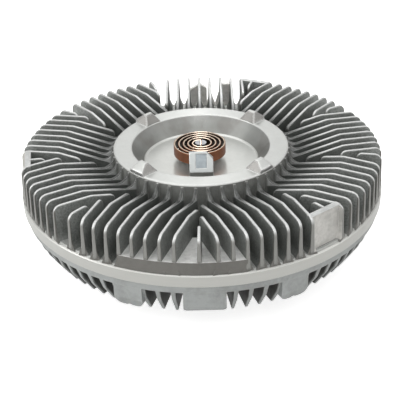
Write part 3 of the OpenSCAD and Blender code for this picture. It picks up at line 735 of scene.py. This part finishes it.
@dataclass(frozen=True)
class BimetalStrip:
    """Bimetal strip by its own map: bright rolled edges, copper-brown outer side, inner side painted near black as
    the shade in the gaps between turns.
    """

    edge: tuple = (0.55, 0.45, 0.35)
    outer: tuple = (0.27, 0.11, 0.06)
    # Inner side: painted shade of the gaps between the turns.
    inner_side_shade: tuple = (0.05, 0.03, 0.02)
    burnt: tuple = (0.07, 0.035, 0.02)
    outer_v: tuple = ((0.02, 0.06), (0.48, 0.44))
    inner_v: tuple = ((0.56, 0.60), (0.96, 0.92))
    heat_marks: float = 60.0
    heat: tuple = (0.45, 0.75)
    tarnish: tuple = (0.5, 0.8)
    burn: float = 0.35
    edge_rough: float = 0.06
    side_rough: float = 0.36
    uneven: float = 0.15
    metal: float = 0.85
    relief: tuple = (0.15, 0.1 * MM)

    def material(self) -> Material:
        """Build the finish: the map's V runs round the strip's section, U along it.

        Returns:
            The material.
        """
        graph = Paint("bimetal_strip")
        u, v, _ = graph.axes(graph.add("TexCoord").outputs["UV"])
        point = graph.point()
        outer, inner_side_shade = (graph.times(graph.step(v, *start), graph.step(v, *end))
                        for start, end in (self.outer_v, self.inner_v))
        # The inner side takes painted shade.
        colour = graph.mix(inner_side_shade, graph.mix(outer, self.edge, self.outer), self.inner_side_shade)
        along = graph.on_line(graph.times(u, self.heat_marks))
        heat = graph.step(graph.noise(along, Cloud.HEAT), *self.heat)
        tarnish = graph.step(graph.noise(point, Cloud.TARNISH), *self.tarnish)
        burn = graph.times(graph.math("MAXIMUM", heat, tarnish), self.burn)
        sides = graph.math("MAXIMUM", outer, inner_side_shade)
        rough = graph.line(tarnish, self.uneven, self.side_rough)
        grain = graph.times(graph.noise(point, Cloud.ROLLED), sides)
        colour = graph.mix(burn, colour, self.burnt)
        rough = graph.mix_value(sides, self.edge_rough, rough)
        return graph.finish(colour, rough, self.metal, graph.bump(grain, *self.relief))


@dataclass(frozen=True)
class Surface:
    """Grid of points: one row per step along a path, each row a closed ring, with a cap at both ends."""

    points: np.ndarray

    def faces(self, first: int) -> list[list[int]]:
        """Four-sided faces between neighbouring points of the grid, and the two caps.

        Args:
            first: number of the grid's first point in the mesh.

        Returns:
            The point numbers of each face.
        """
        rows, cols = self.points.shape[:2]
        at = first + np.arange(rows * cols).reshape(rows, cols)
        beside = np.roll(at, -1, axis=1)
        quads = np.stack([at[:-1], beside[:-1], beside[1:], at[1:]], -1).reshape(-1, 4)
        return quads.tolist() + [at[0, ::-1].tolist(), at[-1].tolist()]

    def map(self) -> np.ndarray:
        """Map that runs along (U) and round (V) the grid, both from 0 to 1.

        Returns:
            U and V of each point.
        """
        rows, cols = self.points.shape[:2]
        u, v = np.meshgrid(np.linspace(0, 1, rows), np.arange(cols) / cols, indexing="ij")
        return np.stack([u, v], -1).reshape(-1, 2)


def in_scene(name: str, data: bpy.types.ID) -> bpy.types.Object:
    """Put a mesh, lamp or camera into the scene.

    Args:
        name: the object's name.
        data: what it shows.

    Returns:
        The new object, at the origin.
    """
    thing = bpy.data.objects.new(name, data)
    bpy.context.scene.collection.objects.link(thing)
    return thing


def mesh_object(name: str, surfaces: list[Surface], material: Material) -> bpy.types.Object:
    """Join surfaces into one smooth mesh object at the origin.

    Args:
        name: the piece's name.
        surfaces: its grids.
        material: its finish.

    Returns:
        The new object, with the map of each grid.
    """
    points, faces, first = [], [], 0
    for surface in surfaces:
        points.append(surface.points.reshape(-1, 3))
        faces += surface.faces(first)
        first += len(points[-1])
    mesh = bpy.data.meshes.new(name)
    mesh.from_pydata(np.concatenate(points).tolist(), [], faces)
    layer = mesh.uv_layers.new(name="along")
    corners = np.empty(len(mesh.loops), np.int32)
    mesh.loops.foreach_get("vertex_index", corners)
    maps = np.concatenate([surface.map() for surface in surfaces])
    layer.data.foreach_set("uv", maps[corners].astype(np.float32).ravel())
    mesh.polygons.foreach_set("use_smooth", np.ones(len(mesh.polygons), bool))
    mesh.materials.append(material)
    mesh.validate()
    mesh.update()
    return in_scene(name, mesh)


def dress(material: Material, *nodes: str) -> tuple[str, ...]:
    """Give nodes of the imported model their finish.

    Args:
        material: the finish.
        nodes: names of the nodes.

    Returns:
        The names.
    """
    for node in nodes:
        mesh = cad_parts[node].data
        mesh.materials.clear()
        mesh.materials.append(material)
    return nodes


def evenly(line: np.ndarray, count: int) -> np.ndarray:
    """Points at equal distances along a line, found on its straight pieces by the length up to each point.

    Args:
        line: points in order.
        count: how many points come out.

    Returns:
        The evenly spaced points.
    """
    far = np.concatenate([[0.0], np.cumsum(np.linalg.norm(np.diff(line, axis=0), axis=1))])
    at = np.linspace(0, far[-1], count)
    return np.stack([np.interp(at, far, line[:, k]) for k in range(line.shape[1])], 1)


def headings(line: np.ndarray) -> np.ndarray:
    """Direction of a line at each of its points, as vectors of length 1."""
    ahead = np.gradient(line, axis=0)
    return ahead / np.linalg.norm(ahead, axis=1, keepdims=True)


@dataclass
class Coil:
    """Bimetal coil: a strip wound from the valve shaft's slot out to the post."""

    strip_t: float = 1.2 * MM
    strip_h: float = 7.5 * MM
    low: float = 71.0 * MM
    inner_r: float = 5.0 * MM
    outer_r: float = 19.3 * MM
    turns: float = 4.5
    tab: float = 3.9 * MM
    tang_end: float = 21.3 * MM
    round_r: float = 0.22 * MM
    flat_end: float = 0.05 * MM
    spiral_points: int = 1600
    straight_points: int = 60
    fine_points: int = 2400
    soft_points: int = 15
    corner_points: int = 5
    steps: int = 520

    def path(self) -> np.ndarray:
        """Middle line of the strip seen from above.

        A straight tab through the shaft at X = 0, a spiral whose radius grows evenly with its angle, and a
        straight tang outwards to the post, with the corners rounded by averaging neighbours.

        Returns:
            Points in X and Y, evenly spaced.
        """
        angle = np.linspace(math.pi / 2, math.pi / 2 + self.turns * math.tau, self.spiral_points)
        radius = np.linspace(self.inner_r, self.outer_r, self.spiral_points)
        spiral = np.stack([radius * np.cos(angle), radius * np.sin(angle)], 1)
        middle = np.zeros(self.straight_points)
        tab = np.stack([middle, np.linspace(-self.tab, self.inner_r, self.straight_points)], 1)
        tang = np.stack([middle, np.linspace(-self.outer_r, -self.tang_end, self.straight_points)], 1)
        line = evenly(np.concatenate([tab[:-1], spiral, tang[1:]]), self.fine_points)
        window = np.hanning(2 * self.soft_points + 1)
        window /= window.sum()
        padded = np.pad(line, ((self.soft_points, self.soft_points), (0, 0)), mode="edge")
        soft = np.stack([np.convolve(padded[:, k], window, mode="valid") for k in (0, 1)], 1)
        return evenly(soft, self.steps)

    def section(self) -> np.ndarray:
        """Section of the strip: a rectangle with rounded corners, from the lower outer corner upwards.

        Each corner is a quarter circle with a short straight piece before and after it, which keeps the flats flat.

        Returns:
            Points as distance outwards and height.
        """
        half, high, r = self.strip_t / 2, self.strip_h, self.round_r
        corners = [(half - r, r, -90), (half - r, high - r, 0), (r - half, high - r, 90), (r - half, r, 180)]
        arcs = []
        for x, z, first in corners:
            turn = np.radians(first + np.linspace(0, 90, self.corner_points))
            arc = np.stack([x + r * np.cos(turn), z + r * np.sin(turn)], 1)
            ahead = np.stack([-np.sin(turn[[0, -1]]), np.cos(turn[[0, -1]])], 1) * self.flat_end
            arcs += [arc[:1] - ahead[:1], arc, arc[-1:] + ahead[1:]]
        return np.concatenate(arcs)

    def surface(self) -> Surface:
        """The strip: its section carried along the path, always upright and across it.

        Returns:
            The strip's grid.
        """
        line, section = self.path(), self.section()
        ahead = headings(line)
        side = np.stack([ahead[:, 1], -ahead[:, 0]], 1)
        xy = line[:, None, :] + side[:, None, :] * section[None, :, :1]
        z = np.broadcast_to(self.low + section[None, :, 1:], xy.shape[:2] + (1,))
        return Surface(np.concatenate([xy, z], -1))

    def build(self) -> str:
        """Make the coil in place of the imported one.

        Returns:
            The piece's name.
        """
        piece = mesh_object("coil_strip", [self.surface()], BimetalStrip().material())
        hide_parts("bimetal_coil")
        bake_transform(piece)
        return piece.name


@dataclass
class FinEdges:
    """Rounded edges on the cover's fins, one bead carried along each fin's outline.

    Each row has a fin's number across its group and the radius where it starts, or 0 for the hub.
    """

    groups: int = 9
    pitch: float = 8.65 * MM
    corner: float = 5.0 * MM
    lead: float = 4.0 * MM
    rise_r: float = 8.0 * MM
    rise_gap: float = 0.6 * MM
    rise_sink: float = 0.2 * MM
    rise_low: float = 1.6 * MM
    tip: float = 0.85 * MM
    tip_over: float = 1.0 * MM
    root: float = 1.45 * MM
    crown: float = 0.42 * MM
    sink: float = 0.05 * MM
    rows: tuple = ((-4, 97.6 * MM), (-3, 74.0 * MM), (-2, 0.0), (-1, 0.0), (0, 0.0), (1, 0.0), (2, 0.0),
                   (3, 84.5 * MM))
    corner_start: float = 108.5 * MM
    corner_turn: float = 18.8
    foot_h: float = 4.6 * MM
    repeat: float = 120.0
    ledge_from: float = 6.0
    ledge_to: float = 42.0
    pad_fin_turn: float = 68.8
    pad_fin_near: float = 0.1
    pad_end: float = 118.6 * MM
    rise_points: int = 12
    bend_points: int = 9
    round_points: int = 7
    steps: int = 52

    @staticmethod
    def _along(radius: float, off: float) -> float:
        """Distance along a fin, off the axis, where it meets a radius."""
        return math.sqrt(radius * radius - off * off)

    def _slope(self, off: float) -> float:
        """Rise of the dish per length along a fin."""
        return SIZES.dish_drop / (self._along(SIZES.dish_r, off) - self._along(SIZES.hub_r, off))

    def _dish(self, u: float, off: float) -> float:
        """Height of the fin tops at a distance along a fin."""
        return min(SIZES.face, SIZES.face - self._slope(off) * (self._along(SIZES.dish_r, off) - u))

    def _rise(self, off: float) -> np.ndarray:
        """Arc of a circle from just under the hub ring's face down into the dish.

        Args:
            off: sideways distance of the fin from the axis.

        Returns:
            Points as distance along the fin and height.
        """
        slope, r = self._slope(off), self.rise_r
        u = self._along(SIZES.hub_r, off) + r + self.rise_gap
        z = self._dish(u, off) + r * math.sqrt(1 + slope * slope) - self.rise_sink
        first = math.pi + math.asin((z - SIZES.face + self.rise_low) / r)
        last = 1.5 * math.pi + math.atan(slope) - math.acos(1 - self.rise_sink / r)
        turn = np.linspace(first, last, self.rise_points)
        return np.stack([u + r * np.cos(turn), z + r * np.sin(turn)], 1)

    def outline(self, off: float, start: float, low: float) -> np.ndarray:
        """Outline of one fin from its inner end over the top and down outside.

        Straight lines along the dish and the outer edge, with a quarter circle at the outer corner and at an
        inner end that stands free.

        Args:
            off: sideways distance of the fin from the axis.
            start: radius of its inner end, or 0 where it starts at the hub.
            low: height where its outer edge ends.

        Returns:
            Points as distance along the fin and height.
        """
        edge = self._along(SIZES.dish_r, off)
        top = self._along(SIZES.fin_r, off) - SIZES.draft
        turn = np.linspace(0, math.pi / 2, self.bend_points)
        parts = []
        if start:
            u0 = self._along(start, off)
            lead_u = u0 + self.lead
            lead_z = self._dish(lead_u, off)
            bend = np.stack([lead_u - self.lead * np.cos(turn), lead_z - self.lead + self.lead * np.sin(turn)], 1)
            parts += [np.array([[u0, SIZES.floor]]), bend]
        else:
            parts.append(self._rise(off))
            lead_u = parts[0][-1, 0]
        if lead_u < edge:
            parts.append(np.array([[edge, SIZES.face]]))
        parts.append(np.stack([top - self.corner + self.corner * np.sin(turn),
                               SIZES.face - self.corner + self.corner * np.cos(turn)], 1))
        share = (SIZES.face - self.corner - low) / (SIZES.face - self.corner - SIZES.floor)
        parts.append(np.array([[top + SIZES.draft * share, low]]))
        return np.concatenate(parts)

    def _low(self, off: float, turn: float) -> float:
        """Height where a fin's outer edge ends: on a ledge, or on the channel floor."""
        at = (turn + math.degrees(math.asin(off / SIZES.fin_r))) % self.repeat
        return SIZES.ledge_top if self.ledge_from < at < self.ledge_to else SIZES.floor

    def bead(self, off: float, start: float, turn: float) -> Surface:
        """Bead on one fin: half an ellipse as wide as the fin there, carried along the outline.

        Args:
            off: sideways distance of the fin from the axis.
            start: radius of its inner end, or 0.
            turn: direction of the fin in degrees.

        Returns:
            The bead's grid.
        """
        line = self.outline(off, start, self._low(off, turn))
        if abs((turn - self.pad_fin_turn) % self.repeat) < self.pad_fin_near:
            line = np.concatenate([line[line[:, 0] < self.pad_end - self.corner], [[self.pad_end, SIZES.face]]])
        line = evenly(line, self.steps)
        ahead = headings(line)
        normal = np.stack([-ahead[:, 1], ahead[:, 0]], 1)
        foot = SIZES.floor + self.foot_h
        share = np.clip((line[:, 1] - foot) / (SIZES.face + self.tip_over - foot), 0, 1)
        half = self.root + (self.tip - self.root) * share
        around = np.linspace(0, math.pi, self.round_points)
        lift = self.crown * np.sin(around) - self.sink
        u = line[:, None, 0] + normal[:, None, 0] * lift[None, :]
        z = line[:, None, 1] + normal[:, None, 1] * lift[None, :]
        v = off + half[:, None] * np.cos(around)[None, :]
        a = math.radians(turn)
        return Surface(np.stack([u * math.cos(a) - v * math.sin(a), u * math.sin(a) + v * math.cos(a), z], -1))

    def build(self) -> str:
        """Make the beads of all fins as one piece on the housing.

        Returns:
            The piece's name.
        """
        step = 360.0 / self.groups
        beads = []
        for n in range(self.groups):
            turn = step / 4 + n * step
            beads += [self.bead(k * self.pitch, start, turn) for k, start in self.rows]
            beads.append(self.bead(0.0, self.corner_start, turn + self.corner_turn))
        piece = mesh_object("fin_edges", beads, FinBead().material())
        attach(piece, Body.HOUSING.value)
        return piece.name


@dataclass
class Housing:
    """The housing: finned cover and body, their seals and screws, and the keeper of the coil."""

    dark: TurnedMetal = TurnedMetal("phosphated_steel", (0.11, 0.11, 0.12), (0.05, 0.05, 0.05), 0.42, 0.8)
    keeper: TurnedMetal = TurnedMetal("keeper_steel", (0.38, 0.42, 0.44), (0.28, 0.31, 0.33), 0.35, 0.8)
    edges: FinEdges = field(default_factory=FinEdges)

    def build(self) -> list[str]:
        """Dress the castings and what is fixed to them, and add the rounded fin edges.

        Returns:
            The names of the pieces.
        """
        return [
            *dress(CastCover().material(), "finned_cover"),
            *dress(CastBody().material(), "finned_body"),
            self.edges.build(),
            *dress(self.dark.material(), "cover_screws", "plate_screws", "bearing_circlip", "bearing_shields"),
            *dress(self.keeper.material(), "coil_keeper"),
            *dress(SealRubber().material(), "body_seal"),
            # The hidden ring on the valve keeps the plain rubber that comes with model.glb.
            *dress(bpy.data.materials["seal_rubber"], "valve_seal"),
        ]


@dataclass
class Works:
    """What runs inside: shaft, rotor, bearing, valve, plate and coil."""

    steel: TurnedMetal = TurnedMetal("turned_steel", (0.52, 0.53, 0.55), (0.30, 0.30, 0.31))
    ground: TurnedMetal = TurnedMetal("bearing_steel", (0.70, 0.71, 0.73), (0.5, 0.5, 0.52), 0.16,
                                      pitch=0.2 * MM)
    brass: TurnedMetal = TurnedMetal("machined_brass", (0.70, 0.52, 0.22), (0.40, 0.27, 0.10), 0.32)
    coil: Coil = field(default_factory=Coil)

    def build(self) -> list[str]:
        """Dress the turned, ground and brass pieces and the rotor, and wind the coil.

        Returns:
            The names of the pieces.
        """
        return [
            *dress(self.steel.material(), "input_shaft", "rotor_nut", "rotor_washer", "separator_plate",
                   "valve_shaft", "valve_arm", "valve_clip"),
            *dress(self.ground.material(), "bearing_inner", "bearing_outer", "bearing_balls"),
            *dress(self.brass.material(), "bearing_cage", "valve_bush", "pump_wiper"),
            *dress(CastBody("cast_rotor").material(), "rotor"),
            self.coil.build(),
        ]


@dataclass(frozen=True)
class Lamp:
    """A lamp of some watts that faces a target: a softbox where it has sides, else a narrow spot.

    A spot has its full cone in degrees, the soft share of its rim, and the radius of its bulb.
    """

    name: str
    place: tuple
    power: float
    sides: tuple = ()
    target: tuple = (0.0, 0.0, 60.0 * MM)
    cone: float = 10.0
    rim: float = 0.7
    bulb: float = 0.04

    def build(self) -> None:
        """Make the lamp, put it in its place and turn it to its target."""
        data = bpy.data.lights.new(self.name, "AREA" if self.sides else "SPOT")
        data.energy = self.power
        if self.sides:
            data.shape = "RECTANGLE"
            data.size, data.size_y = self.sides
        else:
            data.spot_size = math.radians(self.cone)
            data.spot_blend = self.rim
            data.shadow_soft_size = self.bulb
        lamp = in_scene(self.name, data)
        lamp.location = self.place
        lamp.rotation_euler = (Vector(self.target) - Vector(self.place)).to_track_quat("-Z", "Y").to_euler()


@dataclass
class Studio:
    """Plain studio: pale floor, soft lamps, and the camera at the photo's angle."""

    eye: tuple = (-0.112 * MM, -559.305 * MM, 354.748 * MM)
    yaw: float = -0.1546
    pitch: float = 29.9885
    roll: float = -1.5724
    focal_px: float = 885.071
    frame_px: float = 400.0
    sensor: float = 36.0
    floor_size: float = 12.0
    floor_gap: float = 0.05 * MM
    floor_colour: tuple = (0.88, 0.88, 0.87)
    floor_rough: float = 0.9
    seen_glow: float = 0.3
    camera_glow: float = 0.45
    white: tuple = (1.0, 1.0, 1.0)
    ambient: float = 0.28
    lamps: tuple = (
        Lamp("top_softbox", (-0.10, -0.10, 1.10), 11.0, (2.0, 2.0)),
        Lamp("front_fill", (0.10, -1.30, 0.80), 1.6, (0.8, 0.8)),
        Lamp("left_fill", (-1.25, -0.30, 0.45), 6.5, (0.7, 0.7)),
        Lamp("right_fill", (1.20, -0.30, 0.50), 2.4, (0.7, 0.7)),
        Lamp("back_strip", (0.0, 1.13, 0.72), 0.5, (0.03, 0.9)),
        Lamp("rear_accent", (0.01, -0.10, 0.39), 8.0, target=(0.006, 0.118, 0.072)),
    )

    def build(self) -> None:
        """Set up camera, floor, world and lamps."""
        scene = bpy.context.scene
        scene.view_settings.view_transform = "Standard"
        self._camera(scene)
        self._floor()
        self._world(scene)
        for lamp in self.lamps:
            lamp.build()

    def _camera(self, scene: bpy.types.Scene) -> None:
        """Place the camera by its eye point and its turns about up, right and view.

        Args:
            scene: the scene that it films.
        """
        data = bpy.data.cameras.new("photo_camera")
        data.sensor_width = self.sensor
        data.lens = self.focal_px / self.frame_px * self.sensor
        camera = in_scene("photo_camera", data)
        turns = ((-self.yaw, "Z"), (90 - self.pitch, "X"), (self.roll, "Z"))
        yaw, pitch, roll = (Matrix.Rotation(math.radians(angle), 4, axis) for angle, axis in turns)
        camera.matrix_world = Matrix.Translation(Vector(self.eye)) @ (yaw @ pitch @ roll)
        scene.camera = camera

    def _floor(self) -> None:
        """Pale floor that shows white to the camera and to gloss, keeps the soft shadow and is clear from below."""
        h, z = self.floor_size / 2, -self.floor_gap
        mesh = bpy.data.meshes.new("floor")
        mesh.from_pydata([(-h, -h, z), (h, -h, z), (h, h, z), (-h, h, z)], [], [(0, 1, 2, 3)])
        graph = Paint("pale_floor")
        back = graph.add("NewGeometry").outputs["Backfacing"]
        camera = graph.add("LightPath").outputs["Is Camera Ray"]
        seen = graph.times(self._seen(graph), self.seen_glow)
        graph.fill(graph.shader, {
            "Base Color": self.floor_colour,
            "Roughness": self.floor_rough,
            "Alpha": graph.math("SUBTRACT", 1.0, back),
            "Emission Color": self.white,
            "Emission Strength": graph.line(camera, self.camera_glow, seen),
        })
        mesh.materials.append(graph.material)
        in_scene("floor", mesh)

    @staticmethod
    def _seen(graph: Graph) -> Socket:
        """1 for rays of the camera, of gloss and of transmission, else 0.

        Args:
            graph: tree of the floor's material or of the world.

        Returns:
            The number's socket.
        """
        path = graph.add("LightPath").outputs
        both = graph.math("ADD", path["Is Camera Ray"], path["Is Glossy Ray"])
        return graph.math("ADD", both, path["Is Transmission Ray"], clamp=True)

    def _world(self, scene: bpy.types.Scene) -> None:
        """White surroundings for camera and gloss, and a lower even light on the object.

        Args:
            scene: the scene that they surround.
        """
        world = bpy.data.worlds.new("studio")
        world.use_nodes = True
        scene.world = world
        graph = Graph(world.node_tree)
        graph.fill(world.node_tree.nodes["Background"], {
            "Color": self.white,
            "Strength": graph.mix_value(self._seen(graph), self.ambient, 1.0),
        })


def main() -> None:
    """Build the effects, dress and report each sub-assembly's pieces, and set up the studio."""
    logging.basicConfig(level=logging.INFO, format="%(name)s %(message)s")
    Effects.build()
    for assembly in (Housing(), Works()):
        for piece in assembly.build():
            LOG.info("%s: %s", type(assembly).__name__, piece)
    Studio().build()


if __name__ == "__main__":
    main()
